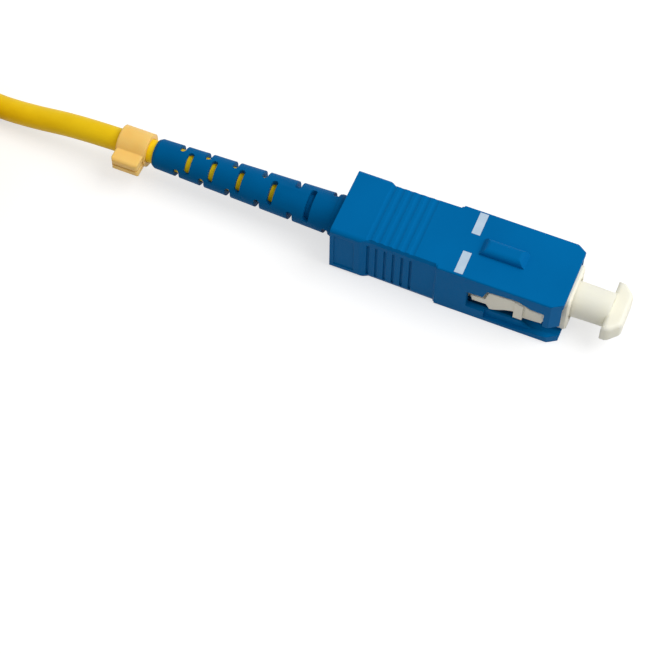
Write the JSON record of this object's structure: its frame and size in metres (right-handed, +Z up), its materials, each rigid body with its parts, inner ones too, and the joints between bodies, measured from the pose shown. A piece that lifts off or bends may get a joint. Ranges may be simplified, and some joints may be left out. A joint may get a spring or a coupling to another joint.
{
  "type": "fibre optic connector",
  "caption": "Push-pull optical fibre connector with a sprung ferrule, ribbed grip housing, slotted boot, dust cap and a coiled simplex cord.",
  "frame": {"origin": "centre of the underside of the connector, from the boot's tail to the end of the dust cap, on the plane of the housing's bottom face", "axes": "+X along the connector towards the ferrule, +Z up on the key side, +Y across the housing"},
  "size_m": [0.1105, 0.0364, 0.0146],
  "materials": {
    "housing_blue": "satin moulded",
    "mark_white": "satin",
    "frame_ivory": "satin moulded",
    "zirconia": "polished",
    "nickel_brass": "nickel plated",
    "tube_natural": "natural",
    "fibre_glass": "polished end",
    "buffer_white": "smooth",
    "spring_steel": "drawn wire",
    "crimp_metal": "bright",
    "aramid": "loose yarn",
    "jacket_yellow": "satin extruded",
    "boot_blue": "soft moulded",
    "cap_white": "translucent moulded",
    "clip_peach": "translucent moulded",
    "tie_black": "hook and loop strip"
  },
  "bodies": {
    "inner_body": {"plug_frame": "frame_ivory", "stop_ring": "nickel_brass", "crimp_sleeve": "crimp_metal", "aramid_yarn": "aramid", "cable_in_boot": "jacket_yellow", "boot": "boot_blue", "ferrule_spring": "spring_steel", "cable": "jacket_yellow", "cable_clip": "clip_peach", "cable_coil": "jacket_yellow", "coil_tie": "tie_black"},
    "grip_sleeve": {"outer_housing": "housing_blue", "alignment_marks": "mark_white"},
    "ferrule_group": {"ferrule": "zirconia", "ferrule_flange": "nickel_brass", "guide_tube": "tube_natural", "bare_fibre": "fibre_glass", "buffered_fibre": "buffer_white"},
    "cap": {"dust_cap": "cap_white"}
  },
  "joints": [
    {"name": "housing_pull", "type": "slide", "parent": "inner_body", "child": "grip_sleeve", "axis": [1, 0, 0], "range_m": [-0.002, 0]},
    {"name": "ferrule_float", "type": "slide", "parent": "inner_body", "child": "ferrule_group", "axis": [1, 0, 0], "range_m": [-0.002, 0], "stiffness_N_per_m": 2900, "deforming": ["ferrule_spring"]},
    {"name": "cap_pull", "type": "slide", "parent": "ferrule_group", "child": "cap", "axis": [1, 0, 0], "range_m": [0, 0.012]}
  ]
}
